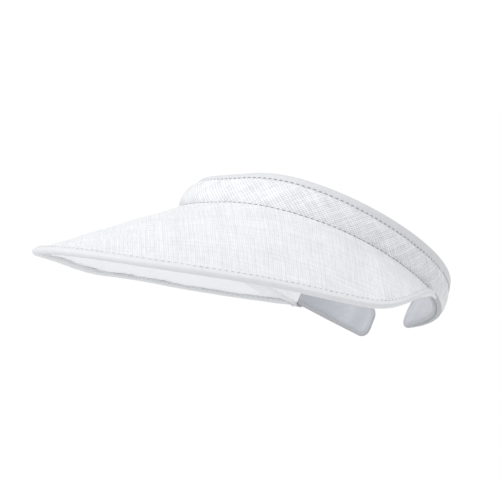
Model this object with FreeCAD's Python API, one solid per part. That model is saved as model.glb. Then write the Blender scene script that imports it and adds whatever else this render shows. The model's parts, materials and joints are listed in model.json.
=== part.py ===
import FreeCAD, Part

import math
import os

# Clip-on sun visor: a wide brim sewn to a springy open band that grips the head from the front.
# Millimetres and degrees. As worn on a level head: -Y is forward, +X is the wearer's left, +Z is up.
# The origin is the middle of the head opening. Everything is laid out first in the band's own frame,
# whose origin is the front centre of the band's lower edge and whose Z runs up the head opening;
# worn() then tips it forward and moves it to the origin.

# Band: plan arcs of its lower edge (radius, sweep), from the front centre round to an arm's end.
BAND_ARCS = ((62.7, 65.4), (106.0, 55.4), (62.5, 49.5))
BAND_HEIGHT = 19.5
BAND_RISE = (15.4, -14.0)  # the lower edge's rise, per square and fourth power of the way round
BAND_DIP = (3.0, -14.0, 30.0)   # the lower edge dips: how much, where, over what spread
BAND_LIFT = (1.0, 80.0, 35.0)   # it lifts beside the forehead
BAND_TALL = (2.4, 22.0, 38.0)   # and the wall is taller across the front
LEAN_FRONT = 20.0         # inward lean of the wall at the front centre
LEAN_END = -4.0           # lean of the wall at the arm ends
ARM_DROP = 9.2            # the right arm's end has relaxed this far down
ARM_SHIFT = 5.4           # and this far away from the middle
WEAR_TILT = 31.0          # how far the band drops towards the back of the head
HEAD_CENTRE_BACK = 82.0   # middle of the head opening, behind the front of the band
HINGE_AT = 0.83           # where the free arm starts, as a share of half the band's length
BODY_GAP = 0.35           # clearance between the arm pieces and the fixed pieces
ARM_CORNER = 6.0          # corner radius of an arm's end

# Band layers: distance inward from the outer face.
COVER = (0.0, 0.6)
SPRING = (0.65, 1.45)
FOAM = (1.55, 3.4)
SWEATBAND = (3.45, 4.05)
SPRING_WIDTH = 11.5
SPRING_TIP_SHORT = 6.5    # the spring stops this far before an arm's end
FOAM_MARGIN = 2.2
SWEATBAND_MARGIN = 0.5
BINDING_WIDTH = 5.0
BINDING_THICK = 0.45
THREAD = 0.5
THREAD_PROUD = 0.3
THREAD_INSET = 4.0        # stitch line, in from a bound edge
CLEAR = 0.12              # between layers that are sewn together
LOWER_TAPE_START = 0.5    # the lower tape's outer edge lies this far in from the band's outer face
SPRING_TIP_LONG = 7.0     # the cap on a spring's end
SPRING_TIP_PAST = 2.0     # how much of the cap is past the spring's end
SPRING_TIP_PROUD = 0.8    # above and below the spring
SPRING_TIP = (0.62, 1.52)

# Brim: outer edge as (share of its seam, point in the band's frame), from the centre to one end.
BRIM_SPAN_AT = 0.77       # the seam's length in the shares below, as a share of half the band's length
BRIM_STOPS_AT = (-0.8, 0.67)    # where the brim ends on the right and on the left
BRIM_EDGE = (
    (0.0, (0.0, -80.7, -69.7)),
    (0.15, (45.2, -64.4, -65.0)),
    (0.3, (77.3, -22.8, -51.9)),
    (0.45, (95.6, 19.7, -40.1)),
    (0.6, (100.9, 55.4, -27.0)),
    (0.75, (92.6, 90.9, -15.1)),
    (0.9, (70.5, 121.5, -4.0)),
    (1.04, (46.5, 143.5, 5.0)),
)
FRONT_FULLNESS = 1.08     # how flat the edge is across the front
NARROW = 0.78             # the left rear of the brim is narrower, by this share of its width
NARROW_FROM = 0.36        # where it starts to narrow, as a share of half the band's length
NARROW_BY = 0.64          # and where it has narrowed
BRIM_LEAST = 2.6          # the brim is at least this wide at its ends

# Brim layers: depth below its top face.
STRAW = (0.0, 0.8)
STIFFENER = (1.0, 1.5)
BRIM_LINING = (1.65, 2.15)
SEAM_TAPE = (2.3, 2.7)
SEAM_GAP = 0.3            # the groove along the seam between the brim and the band
SEAM_TAPE_WIDTH = 4.5
STIFFENER_SHORT = 3.2     # the stiffener stops this far inside the edge
INNER_SKIP = 3            # stiffener, wire and seam tape stop this many sections before the brim's ends
STRIP_LEAST = 0.6         # the narrowest that a strip of the brim gets
EDGE_WIRE_RADIUS = 0.3
EDGE_WIRE_INSET = 1.6
EDGE_WIRE_CORNERS = 8
EDGE_SHORT = 0.12         # the straw and the lining stop this far inside the fold of the binding
BRIM_BINDING_WIDTH = 4.8
BRIM_BINDING_THICK = 0.5
BRIM_THREAD_INSET = 4.2

HALF_LENGTH = sum(radius * math.radians(sweep) for radius, sweep in BAND_ARCS)
HINGE = HINGE_AT * HALF_LENGTH
BRIM_SPAN = BRIM_SPAN_AT * HALF_LENGTH
BRIM_STOPS = [share * HALF_LENGTH for share in BRIM_STOPS_AT]
STATIONS = 26             # sections along a piece that runs round the front
BRIM_STATIONS = 60        # and round the brim
ARM_STATIONS = 9
ARM_EDGE_STATIONS = 6
CORNER_STEPS = 6
SPRING_TIP_STATIONS = 3
LAST_TURN = 82.0          # an arm's end face starts this far round its corner
MIDLINE_STEP = 0.5


def vector(x, y, z):
    return FreeCAD.Vector(x, y, z)


def worn(point):
    """From the band's frame to the frame of the worn visor."""
    centre = vector(0.0, HEAD_CENTRE_BACK, BAND_HEIGHT / 2.0)
    turn = FreeCAD.Rotation(vector(1.0, 0.0, 0.0), -WEAR_TILT)
    return turn.multVec(point - centre)


def side_of(s, point):
    """Puts a point of the left half on the side of s, with the right arm's set."""
    if s >= 0.0:
        return point
    share = (abs(s) / HALF_LENGTH) ** 3
    return vector(-point.x - ARM_SHIFT * share, point.y, point.z - ARM_DROP * share)


def plan(s):
    """Plan point and heading of the band's lower edge, s mm from the front centre."""
    x, y, heading = 0.0, 0.0, 0.0
    left = abs(s)
    for radius, sweep in BAND_ARCS:
        turn = left / radius
        if (radius, sweep) != BAND_ARCS[-1]:
            turn = min(turn, math.radians(sweep))
        x += radius * (math.sin(heading + turn) - math.sin(heading))
        y += radius * (math.cos(heading) - math.cos(heading + turn))
        heading += turn
        left -= radius * turn
    return x, y, heading


def swell(s, bump):
    """A smooth local change of shape round the band, given as (amount, where, spread)."""
    amount, at, spread = bump
    return amount * math.exp(-((s - at) / spread) ** 2)


def wall(s, height, inward):
    """A point of the band: s round from the front, height up the wall, inward from its outer face."""
    x, y, heading = plan(s)
    share = abs(s) / HALF_LENGTH
    lean = math.radians(LEAN_FRONT + (LEAN_END - LEAN_FRONT) * share)
    out = vector(math.sin(heading), -math.cos(heading), 0.0)
    rise = BAND_RISE[0] * share ** 2 + BAND_RISE[1] * share ** 4
    low = vector(x, y, rise - swell(s, BAND_DIP) + swell(s, BAND_LIFT))
    up = out * -math.sin(lean) + vector(0.0, 0.0, math.cos(lean))
    inner = out * -math.cos(lean) + vector(0.0, 0.0, -math.sin(lean))
    tall = 1.0 + swell(s, BAND_TALL) / BAND_HEIGHT
    return side_of(s, low + up * height * tall + inner * inward)


def brim_edge_curve():
    curve = Part.BSplineCurve()
    points = [vector(*point) for share, point in BRIM_EDGE]
    across = vector((points[1].x - points[0].x) * FRONT_FULLNESS / BRIM_EDGE[1][0], 0.0, 0.0)
    end = (points[-1] - points[-2]) * (1.0 / (BRIM_EDGE[-1][0] - BRIM_EDGE[-2][0]))
    curve.interpolate(
        Points=points,
        Parameters=[share for share, point in BRIM_EDGE],
        InitialTangent=across,
        FinalTangent=end,
    )
    return curve


EDGE = brim_edge_curve()


def edge_point(s):
    """A point of the brim's outer edge: the left rear is narrower, and neither end comes to a point."""
    seam = wall(s, 0.0, 0.0)
    across = side_of(s, EDGE.value(min(abs(s) / BRIM_SPAN, BRIM_EDGE[-1][0]))) - seam
    width = across.Length
    kept = width
    if s > 0.0:
        way = (s / HALF_LENGTH - NARROW_FROM) / (NARROW_BY - NARROW_FROM)
        way = min(max(way, 0.0), 1.0)
        kept = width * (1.0 - NARROW * way * way * (3.0 - 2.0 * way))
    return seam + across * (max(kept, BRIM_LEAST) / width)


def brim_frame(s):
    """Seam point, outward direction, downward normal and width of the brim at station s."""
    ahead = min(s + MIDLINE_STEP, BRIM_STOPS[1])
    behind = max(s - MIDLINE_STEP, BRIM_STOPS[0])
    seam = wall(s, 0.0, 0.0)
    edge = edge_point(s)
    out = edge - seam
    width = out.Length
    out.normalize()
    middle_ahead = wall(ahead, 0.0, 0.0) + edge_point(ahead)
    middle_behind = wall(behind, 0.0, 0.0) + edge_point(behind)
    down = (middle_ahead - middle_behind).cross(out)
    down.normalize()
    if down.z > 0.0:
        down = down * -1.0
    return seam, out, down, width


def polygon(points):
    points = [worn(point) for point in points]
    return Part.makePolygon(points + [points[0]])


def spaced(start, stop, count):
    return [start + (stop - start) * i / count for i in range(count + 1)]


def loft(sections, ruled=False):
    solid = Part.makeLoft(sections, True, ruled)
    if solid.Volume < 0.0:
        solid.reverse()
    return solid


def band_section(s, low, high, layer):
    return polygon([
        wall(s, low, layer[0]),
        wall(s, high, layer[0]),
        wall(s, high, layer[1]),
        wall(s, low, layer[1]),
    ])


def band_strip(start, stop, count, low, high, layer):
    return loft([band_section(s, low, high, layer) for s in spaced(start, stop, count)])


def brim_section(s, shape):
    """shape(width) gives the section's corners as (distance out from the seam, depth)."""
    seam, out, down, width = brim_frame(s)
    return polygon([seam + out * across + down * depth for across, depth in shape(width)])


def brim_strip(shape, skip=0, ruled=True):
    """A strip that runs round the brim; all share their sections, so that the layers stay apart."""
    stations = spaced(BRIM_STOPS[0], BRIM_STOPS[1], BRIM_STATIONS)
    sections = [brim_section(s, shape) for s in stations[skip:len(stations) - skip]]
    return loft(sections, ruled)


def brim_layer(layer, short):
    def shape(width):
        outer = max(width - short, SEAM_GAP + STRIP_LEAST)
        return [(SEAM_GAP, layer[0]), (outer, layer[0]), (outer, layer[1]), (SEAM_GAP, layer[1])]
    return shape


def brim_binding_shape(width):
    leg = max(width - BRIM_BINDING_WIDTH, SEAM_GAP + STRIP_LEAST / 2.0)
    top = STRAW[0] - CLEAR
    under = BRIM_LINING[1] + CLEAR
    wrap = BRIM_BINDING_THICK
    return [
        (leg, top - wrap), (width + wrap, top - wrap), (width + wrap, under + wrap), (leg, under + wrap),
        (leg, under), (width, under), (width, top), (leg, top),
    ]


def brim_thread_shape(depth):
    def shape(width):
        line = max(width - BRIM_THREAD_INSET, SEAM_GAP + STRIP_LEAST)
        return [
            (line, depth), (line + THREAD, depth),
            (line + THREAD, depth + THREAD_PROUD), (line, depth + THREAD_PROUD),
        ]
    return shape


def seam_tape_shape(width):
    outer = min(SEAM_GAP + SEAM_TAPE_WIDTH, width - BRIM_BINDING_WIDTH - STRIP_LEAST)
    outer = max(outer, SEAM_GAP + STRIP_LEAST)
    return [
        (SEAM_GAP, SEAM_TAPE[0]), (outer, SEAM_TAPE[0]), (outer, SEAM_TAPE[1]), (SEAM_GAP, SEAM_TAPE[1]),
    ]


def edge_wire_shape(width):
    """The wire's round section, as a regular polygon inside the edge."""
    across = width - EDGE_WIRE_INSET
    depth = (STIFFENER[0] + STIFFENER[1]) / 2.0
    angles = [2.0 * math.pi * i / EDGE_WIRE_CORNERS for i in range(EDGE_WIRE_CORNERS)]
    return [
        (across + EDGE_WIRE_RADIUS * math.cos(a), depth + EDGE_WIRE_RADIUS * math.sin(a)) for a in angles
    ]


def arm_outline(s, margin=0.0):
    """Lowest and highest point of an arm's wall at s, with its end corners rounded."""
    corner = ARM_CORNER - margin
    past = s - (HALF_LENGTH - ARM_CORNER)
    cut = 0.0
    if past > 0.0:
        cut = corner - math.sqrt(max(corner ** 2 - min(past, corner) ** 2, 0.0))
    return margin + cut, BAND_HEIGHT - margin - cut


def arm_stops(margin):
    """Stations along an arm, closer together round its end corners."""
    straight = spaced(HINGE + BODY_GAP, HALF_LENGTH - ARM_CORNER, ARM_STATIONS)
    corner = ARM_CORNER - margin
    angles = spaced(0.0, LAST_TURN, CORNER_STEPS)[1:]
    return straight + [HALF_LENGTH - ARM_CORNER + corner * math.sin(math.radians(a)) for a in angles]


def arm_layer(side, layer, margin=0.0):
    sections = []
    for s in arm_stops(margin):
        low, high = arm_outline(s, margin)
        sections.append(band_section(side * s, low, high, layer))
    return loft(sections)


def arm_path():
    """Round an arm's edge, as (s, height, outward s, outward height): top, end, then lower edge."""
    path = []
    corner_s = HALF_LENGTH - ARM_CORNER
    straight = spaced(HINGE + BODY_GAP, corner_s, ARM_EDGE_STATIONS)
    turns = spaced(0.0, 90.0, CORNER_STEPS)
    for s in straight[:-1]:
        path.append((s, BAND_HEIGHT, 0.0, 1.0))
    for turn in turns:
        along, up = math.sin(math.radians(turn)), math.cos(math.radians(turn))
        path.append((
            corner_s + ARM_CORNER * along, BAND_HEIGHT - ARM_CORNER + ARM_CORNER * up, along, up,
        ))
    for turn in turns:
        along, down = math.cos(math.radians(turn)), math.sin(math.radians(turn))
        path.append((corner_s + ARM_CORNER * along, ARM_CORNER - ARM_CORNER * down, along, -down))
    for s in reversed(straight[:-1]):
        path.append((s, 0.0, 0.0, -1.0))
    return path


def binding_corners(leg):
    """A folded binding's section as (outward from the bound edge, inward from the outer face)."""
    outer = -CLEAR
    inner = SWEATBAND[1] + CLEAR
    wrap = BINDING_THICK
    return [
        (CLEAR + wrap, outer - wrap), (-leg, outer - wrap), (-leg, outer), (CLEAR, outer),
        (CLEAR, inner), (-leg, inner), (-leg, inner + wrap), (CLEAR + wrap, inner + wrap),
    ]


def thread_corners(face, sign):
    proud = face + sign * THREAD_PROUD
    return [
        (-THREAD_INSET, face), (-THREAD_INSET + THREAD, face),
        (-THREAD_INSET + THREAD, proud), (-THREAD_INSET, proud),
    ]


def along_edge(path, corners, side):
    sections = []
    for s, height, out_s, out_h in path:
        points = [wall(side * (s + out_s * e), height + out_h * e, t) for e, t in corners]
        sections.append(polygon(points))
    return loft(sections)


def front_path():
    return [(s, BAND_HEIGHT, 0.0, 1.0) for s in spaced(-HINGE, HINGE, STATIONS)]


def thread_pair(path, side):
    depth = BINDING_THICK + 2.0 * CLEAR
    outer = along_edge(path, thread_corners(-depth, -1.0), side)
    inner = along_edge(path, thread_corners(SWEATBAND[1] + depth, 1.0), side)
    return Part.makeCompound([outer, inner])


def lower_tape():
    """The turned tape that closes the band's lower edge behind the seam."""
    wrap = BINDING_THICK
    inner = SWEATBAND[1]
    corners = [
        (-CLEAR, LOWER_TAPE_START), (-CLEAR, inner + CLEAR), (BINDING_WIDTH, inner + CLEAR),
        (BINDING_WIDTH, inner + wrap + CLEAR), (-CLEAR - wrap, inner + wrap + CLEAR),
        (-CLEAR - wrap, LOWER_TAPE_START),
    ]
    sections = []
    for s in spaced(-HINGE, HINGE, STATIONS):
        sections.append(polygon([wall(s, height, t) for height, t in corners]))
    return loft(sections)


def spring_tip(side, spring):
    """The soft cap pushed over the end of the spring strip."""
    low = (BAND_HEIGHT - SPRING_WIDTH) / 2.0 - SPRING_TIP_PROUD
    high = (BAND_HEIGHT + SPRING_WIDTH) / 2.0 + SPRING_TIP_PROUD
    stop = HALF_LENGTH - SPRING_TIP_SHORT + SPRING_TIP_PAST
    start = stop - SPRING_TIP_LONG
    cap = band_strip(side * start, side * stop, SPRING_TIP_STATIONS, low, high, SPRING_TIP)
    return cap.cut(spring)


def front_parts():
    spring_low = (BAND_HEIGHT - SPRING_WIDTH) / 2.0
    spring_high = (BAND_HEIGHT + SPRING_WIDTH) / 2.0
    foam_top = BAND_HEIGHT - FOAM_MARGIN
    brim_top = STRAW[0] - BRIM_BINDING_THICK - THREAD_PROUD - 2.0 * CLEAR
    brim_under = BRIM_LINING[1] + BRIM_BINDING_THICK + 2.0 * CLEAR
    threads = [brim_strip(brim_thread_shape(depth)) for depth in (brim_top, brim_under)]
    return {
        "brim_top_straw": brim_strip(brim_layer(STRAW, EDGE_SHORT)),
        "brim_stiffener": brim_strip(brim_layer(STIFFENER, STIFFENER_SHORT), INNER_SKIP),
        "brim_lining": brim_strip(brim_layer(BRIM_LINING, EDGE_SHORT)),
        "brim_edge_wire": brim_strip(edge_wire_shape, INNER_SKIP, ruled=False),
        "brim_edge_binding": brim_strip(brim_binding_shape),
        "brim_edge_stitching": Part.makeCompound(threads),
        "brim_seam_tape": brim_strip(seam_tape_shape, INNER_SKIP),
        "band_cover_front": band_strip(-HINGE, HINGE, STATIONS, 0.0, BAND_HEIGHT, COVER),
        "band_spring_front": band_strip(-HINGE, HINGE, STATIONS, spring_low, spring_high, SPRING),
        "band_foam_front": band_strip(-HINGE, HINGE, STATIONS, FOAM_MARGIN, foam_top, FOAM),
        "band_sweatband_front": band_strip(
            -HINGE, HINGE, STATIONS, SWEATBAND_MARGIN, BAND_HEIGHT - SWEATBAND_MARGIN, SWEATBAND),
        "band_top_binding_front": along_edge(front_path(), binding_corners(BINDING_WIDTH), 1.0),
        "band_top_stitching_front": thread_pair(front_path(), 1.0),
        "band_lower_tape_front": lower_tape(),
    }


def arm_parts(side, name):
    spring_low = (BAND_HEIGHT - SPRING_WIDTH) / 2.0
    spring_high = (BAND_HEIGHT + SPRING_WIDTH) / 2.0
    start = side * (HINGE + BODY_GAP)
    reach = side * (HALF_LENGTH - SPRING_TIP_SHORT)
    spring = band_strip(start, reach, ARM_STATIONS, spring_low, spring_high, SPRING)
    return {
        "arm_cover_" + name: arm_layer(side, COVER),
        "arm_spring_" + name: spring,
        "arm_spring_tip_" + name: spring_tip(side, spring),
        "arm_foam_" + name: arm_layer(side, FOAM, FOAM_MARGIN),
        "arm_sweatband_" + name: arm_layer(side, SWEATBAND, SWEATBAND_MARGIN),
        "arm_binding_" + name: along_edge(arm_path(), binding_corners(BINDING_WIDTH), side),
        "arm_stitching_" + name: thread_pair(arm_path(), side),
    }


parts = front_parts()
parts.update(arm_parts(1.0, "left"))
parts.update(arm_parts(-1.0, "right"))

os.makedirs("parts", exist_ok=True)
for node, shape in parts.items():
    shape.exportStep("parts/" + node + ".step")
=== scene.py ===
import json
import math

import bpy
import numpy as np
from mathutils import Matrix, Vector


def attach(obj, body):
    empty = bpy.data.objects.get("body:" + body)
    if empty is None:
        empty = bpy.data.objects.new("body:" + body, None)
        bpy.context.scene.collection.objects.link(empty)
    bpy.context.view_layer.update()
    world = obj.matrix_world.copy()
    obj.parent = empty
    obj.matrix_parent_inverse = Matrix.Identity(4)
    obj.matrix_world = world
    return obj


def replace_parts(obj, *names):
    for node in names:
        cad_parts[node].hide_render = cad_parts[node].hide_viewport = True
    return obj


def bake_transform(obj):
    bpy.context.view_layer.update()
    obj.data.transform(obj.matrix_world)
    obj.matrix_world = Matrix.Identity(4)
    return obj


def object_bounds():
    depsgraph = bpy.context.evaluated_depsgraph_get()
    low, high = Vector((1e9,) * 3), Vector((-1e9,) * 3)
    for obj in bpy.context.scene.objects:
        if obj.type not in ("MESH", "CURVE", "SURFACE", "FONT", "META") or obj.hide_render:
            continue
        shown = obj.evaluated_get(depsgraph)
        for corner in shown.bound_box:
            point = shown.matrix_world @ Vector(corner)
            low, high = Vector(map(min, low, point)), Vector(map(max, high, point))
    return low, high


# Looks of the clip-on sun visor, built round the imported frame. Metres, in the frame of the worn visor:
# -Y is forward, +X is the wearer's left, +Z is up, and the origin is the middle of the head opening.
# Shapes are laid out in the band's own frame, whose origin is the front centre of the band's lower edge.

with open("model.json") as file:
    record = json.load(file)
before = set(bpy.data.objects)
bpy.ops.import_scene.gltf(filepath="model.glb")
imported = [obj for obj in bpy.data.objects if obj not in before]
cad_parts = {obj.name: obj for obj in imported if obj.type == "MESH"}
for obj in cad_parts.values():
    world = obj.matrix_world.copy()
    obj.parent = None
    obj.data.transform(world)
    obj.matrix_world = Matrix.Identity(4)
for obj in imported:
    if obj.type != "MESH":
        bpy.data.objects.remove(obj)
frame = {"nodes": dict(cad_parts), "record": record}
cad_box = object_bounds()

MM = 0.001

# Band: plan arcs of its lower edge (radius, sweep in degrees), from the front centre to an arm's end.
BAND_ARCS = ((62.7 * MM, 65.4), (106.0 * MM, 55.4), (62.5 * MM, 49.5))
BAND_HEIGHT = 19.5 * MM
BAND_RISE = (15.4 * MM, -14.0 * MM)
BAND_DIP = (3.0 * MM, -14.0 * MM, 30.0 * MM)    # the lower edge dips: how much, where, over what spread
BAND_LIFT = (1.0 * MM, 80.0 * MM, 35.0 * MM)    # it lifts beside the forehead
BAND_TALL = (2.4 * MM, 22.0 * MM, 38.0 * MM)    # and the wall is taller across the front
LEAN_FRONT = 20.0
LEAN_END = -4.0
ARM_DROP = 9.2 * MM
ARM_SHIFT = 5.4 * MM
WEAR_TILT = math.radians(31.0)
HEAD_CENTRE_BACK = 82.0 * MM
ARM_CORNER = 6.0 * MM
HALF_LENGTH = sum(radius * math.radians(sweep) for radius, sweep in BAND_ARCS)
HINGE = 0.83 * HALF_LENGTH
SPLIT = HINGE - 40.0 * MM         # a band piece's centre stretch ends here; the arms' own pieces go on from here
BRIM_SPAN = 0.77 * HALF_LENGTH
BRIM_STOPS = (-0.8 * HALF_LENGTH, 0.64 * HALF_LENGTH)

# Brim's outer edge, as (share of its seam, point), from the front centre to one end.
BRIM_EDGE = (
    (0.0, (0.0, -80.7, -69.7)),
    (0.15, (45.2, -64.4, -65.0)),
    (0.3, (77.3, -22.8, -51.9)),
    (0.45, (95.6, 19.7, -40.1)),
    (0.6, (100.9, 55.4, -27.0)),
    (0.75, (92.6, 90.9, -15.1)),
    (0.9, (70.5, 121.5, -4.0)),
    (1.04, (46.5, 143.5, 5.0)),
)

FRONT_FULLNESS = 1.08             # how flat the edge is across the front
NARROW = 0.78                     # the left rear of the brim is narrower, by this share of its width
NARROW_FROM = 0.36                # as shares of half the band's length
NARROW_BY = 0.64
BRIM_LEAST = 2.6 * MM
BRIM_UNEVEN = 0.3 * MM            # ripples of its cloths
BRIM_EASE = 0.05 * MM             # the cloths stop this far short of the fold

# Layers, as distances below the outer face.
COVER = (0.0, 0.6 * MM)
SPRING = (0.65 * MM, 1.45 * MM)
FOAM = (1.55 * MM, 3.4 * MM)
SWEATBAND = (3.45 * MM, 4.05 * MM)
STRAW = (0.0, 0.8 * MM)
STIFFENER = (1.0 * MM, 1.5 * MM)
BRIM_LINING = (1.65 * MM, 2.15 * MM)
SEAM_TAPE = (2.3 * MM, 2.7 * MM)

COVER_PUFF = 1.9 * MM             # how far the foam fills the cover out between its edges
COVER_FULL = (1.6 * MM, -42.0 * MM, 34.0 * MM)   # it is fuller right of the front
COVER_TUCK = 2.2 * MM             # the fullness runs on this far under the top binding
SATIN_PUFF = 0.5 * MM
SPRING_HALF = 5.75 * MM
SPRING_SHORT = 6.5 * MM
FOAM_MARGIN = 2.2 * MM
SATIN_MARGIN = 0.5 * MM
SEAM_GAP = 0.5 * MM
BAND_FOLD = 1.2 * MM              # the layers stop this far inside the fold of the band's binding
LOWER_FOLD = 0.6 * MM             # less along an arm's lower edge
BRIM_FOLD = 1.0 * MM              # and of the brim's binding
SEAM_TAPE_WIDTH = 4.5 * MM
SEAM_TAPE_TUCK = 4.2 * MM         # the tape curls up this far under the band
SEAM_TAPE_LIFT = 1.8 * MM         # and rises this much
STIFFENER_SHORT = 2.2 * MM
EDGE_WIRE_RADIUS = 0.3 * MM
EDGE_WIRE_INSET = 1.9 * MM
BINDING_START = (0.785 * HALF_LENGTH, 0.655 * HALF_LENGTH)   # lower edge's binding on the right, on the left
END_TAPER = 14.0 * MM             # an arm's end and a brim's end thin out over this length
ARM_END_SHARE = 0.55              # to this share of their thickness
BRIM_END_SHARE = 0.5

# Folded bindings and their stitches.
BINDING_THICK = 0.45 * MM
BAND_LEG_FRONT = 3.4 * MM
BAND_LEG = 5.0 * MM
ARM_END_LEG = 0.4 * MM
BRIM_LEG = 4.8 * MM
STITCH_IN = 0.9 * MM              # a stitch line lies this far inside a binding's free edge
STITCH_PITCH = 3.0 * MM
STITCH_LONG = 2.3 * MM
STITCH_RADIUS = 0.24 * MM
PINCH = 0.16 * MM                 # how far a stitch draws the binding down
PINCH_WIDTH = 0.7 * MM
BRIM_CROWN = 0.7 * MM             # how round the fold of the brim's binding is
BAND_CROWN = 1.3 * MM
ARM_GROOVE = 1.1 * MM             # the groove in the fold along an arm's lower edge
GROOVE_WIDTH = 0.55 * MM
HAIR = 0.02 * MM                  # clearance between cloths that lie on each other
LEG_GROWS = (30 * MM, 125 * MM)   # the top binding broadens between these distances from the front
TAPE_SHORT = 5.0 * MM             # the lower tape stops this far before the left arm's binding
TAPE_UP = 5.0 * MM                # and reaches this far up the inside of the band
TAPE_UNDER = 0.9 * MM             # from this far under it
SEAM_THREAD = (0.22 * MM, 0.1 * MM)   # out of the groove, and below the top face
LEAST_STRIP = 0.6 * MM

BRIM_STATIONS = 260
BAND_STATIONS = 220
ARM_STATIONS = 90
TOP_STATIONS = 60


# ---------------------------------------------------------------- shape of the band and the brim

def worn(points):
    """From the band's frame to the frame of the worn visor."""
    x, y, z = np.moveaxis(points, -1, 0)
    y = y - HEAD_CENTRE_BACK
    z = z - BAND_HEIGHT / 2
    cos, sin = math.cos(WEAR_TILT), math.sin(WEAR_TILT)
    return np.stack([x, y * cos + z * sin, z * cos - y * sin], -1)


def side_of(s, points):
    """Mirrors left-half points to the side of s, with the right arm's relaxed set."""
    right = (s < 0)[..., None]
    share = (np.abs(s) / HALF_LENGTH) ** 3
    mirrored = points * (-1, 1, 1) - share[..., None] * np.array((ARM_SHIFT, 0, ARM_DROP))
    return np.where(right, mirrored, points)


def plan(s):
    """Plan point and heading of the band's lower edge."""
    left = np.abs(s)
    x, y, heading = 0.0 * left, 0.0 * left, 0.0 * left
    for i, (radius, sweep) in enumerate(BAND_ARCS):
        most = math.radians(sweep) if i < len(BAND_ARCS) - 1 else math.pi
        turn = np.minimum(left / radius, most)
        x = x + radius * (np.sin(heading + turn) - np.sin(heading))
        y = y + radius * (np.cos(heading) - np.cos(heading + turn))
        heading = heading + turn
        left = left - radius * turn
    return x, y, heading


def smooth_step(value, start, stop):
    t = np.clip((value - start) / (stop - start), 0, 1)
    return t * t * (3 - 2 * t)


def taper(s, end, share):
    """Thickness left at s of a piece that thins towards its end."""
    return 1 - (1 - share) * smooth_step(np.abs(s), end - END_TAPER, end)


def swell(s, bump):
    """A smooth local change of shape round the band, given as (amount, where, spread)."""
    amount, at, spread = bump
    return amount * np.exp(-((s - at) / spread) ** 2)


def wall(s, height, inward):
    """Points of the band: s round from the front, height up the wall, inward from its outer face."""
    s, height, inward = np.broadcast_arrays(*(np.asarray(v, float) for v in (s, height, inward)))
    x, y, heading = plan(s)
    share = np.abs(s) / HALF_LENGTH
    lean = np.radians(LEAN_FRONT + (LEAN_END - LEAN_FRONT) * share)
    rise = BAND_RISE[0] * share ** 2 + BAND_RISE[1] * share ** 4 - swell(s, BAND_DIP) + swell(s, BAND_LIFT)
    tall = 1 + swell(s, BAND_TALL) / BAND_HEIGHT
    out = np.stack([np.sin(heading), -np.cos(heading), 0 * heading], -1)
    up_axis = np.array((0.0, 0.0, 1.0))
    up = -out * np.sin(lean)[..., None] + up_axis * np.cos(lean)[..., None]
    inner = -out * np.cos(lean)[..., None] - up_axis * np.sin(lean)[..., None]
    low = np.stack([x, y, rise], -1)
    inward = inward * taper(s, HALF_LENGTH, ARM_END_SHARE)
    return side_of(s, low + up * (height * tall)[..., None] + inner * inward[..., None])


def edge_slopes(at, points):
    """Slopes of the cubic spline through the brim's edge points, flat across the front centre."""
    count = len(at)
    system = np.zeros((count, count))
    target = np.zeros((count, 3))
    system[0, 0] = system[-1, -1] = 1.0
    target[0] = ((points[1, 0] - points[0, 0]) * FRONT_FULLNESS / at[1], 0.0, 0.0)
    target[-1] = (points[-1] - points[-2]) / (at[-1] - at[-2])
    for i in range(1, count - 1):
        before, after = at[i] - at[i - 1], at[i + 1] - at[i]
        system[i, i - 1:i + 2] = 1 / before, 2 * (1 / before + 1 / after), 1 / after
        target[i] = 3 * ((points[i] - points[i - 1]) / before ** 2 + (points[i + 1] - points[i]) / after ** 2)
    return np.linalg.solve(system, target)


EDGE_AT = np.array([share for share, point in BRIM_EDGE])
EDGE_POINTS = np.array([point for share, point in BRIM_EDGE]) * MM
EDGE_SLOPES = edge_slopes(EDGE_AT, EDGE_POINTS)


def edge_point(s):
    """Points of the brim's outer edge: the left rear is narrower, and neither end comes to a point."""
    way = smooth_step(s / HALF_LENGTH, NARROW_FROM, NARROW_BY)
    share = np.clip(np.abs(s) / BRIM_SPAN, 0, EDGE_AT[-1])
    span = np.clip(np.searchsorted(EDGE_AT, share, side="right") - 1, 0, len(EDGE_AT) - 2)
    length = (EDGE_AT[span + 1] - EDGE_AT[span])[..., None]
    t = (share - EDGE_AT[span])[..., None] / length
    start, stop = EDGE_POINTS[span], EDGE_POINTS[span + 1]
    bend = (EDGE_SLOPES[span] * (1 - t) - EDGE_SLOPES[span + 1] * t) * length + (start - stop) * (1 - 2 * t)
    seam = wall(s, 0, 0)
    across = side_of(s, start * (1 - t) + stop * t + t * (1 - t) * bend) - seam
    width = np.linalg.norm(across, axis=-1)
    kept = np.maximum(width * (1 - NARROW * way), BRIM_LEAST)
    return seam + across * (kept / width)[..., None]


def unit(vectors):
    return vectors / np.linalg.norm(vectors, axis=-1, keepdims=True)


def brim_frame(s):
    """Seam point, outward direction, downward normal and width of the brim at each s."""
    step = 0.5 * MM
    seam = wall(s, 0, 0)
    across = edge_point(s) - seam
    ahead = np.clip(s + step, *BRIM_STOPS)
    behind = np.clip(s - step, *BRIM_STOPS)
    run = wall(ahead, 0, 0) + edge_point(ahead) - wall(behind, 0, 0) - edge_point(behind)
    down = unit(np.cross(run, across))
    down = np.where(down[..., 2:] > 0, -down, down)
    return seam, unit(across), down, np.linalg.norm(across, axis=-1)


def brim(s, across, depth):
    """Points of the brim: across from the seam towards the edge, depth below its top face."""
    seam, out, down, _ = brim_frame(s)
    end = np.where(s < 0, -BRIM_STOPS[0], BRIM_STOPS[1])
    depth = depth * taper(s, end, BRIM_END_SHARE)[:, None]
    return seam[:, None] + out[:, None] * across[..., None] + down[:, None] * depth[..., None]


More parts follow.
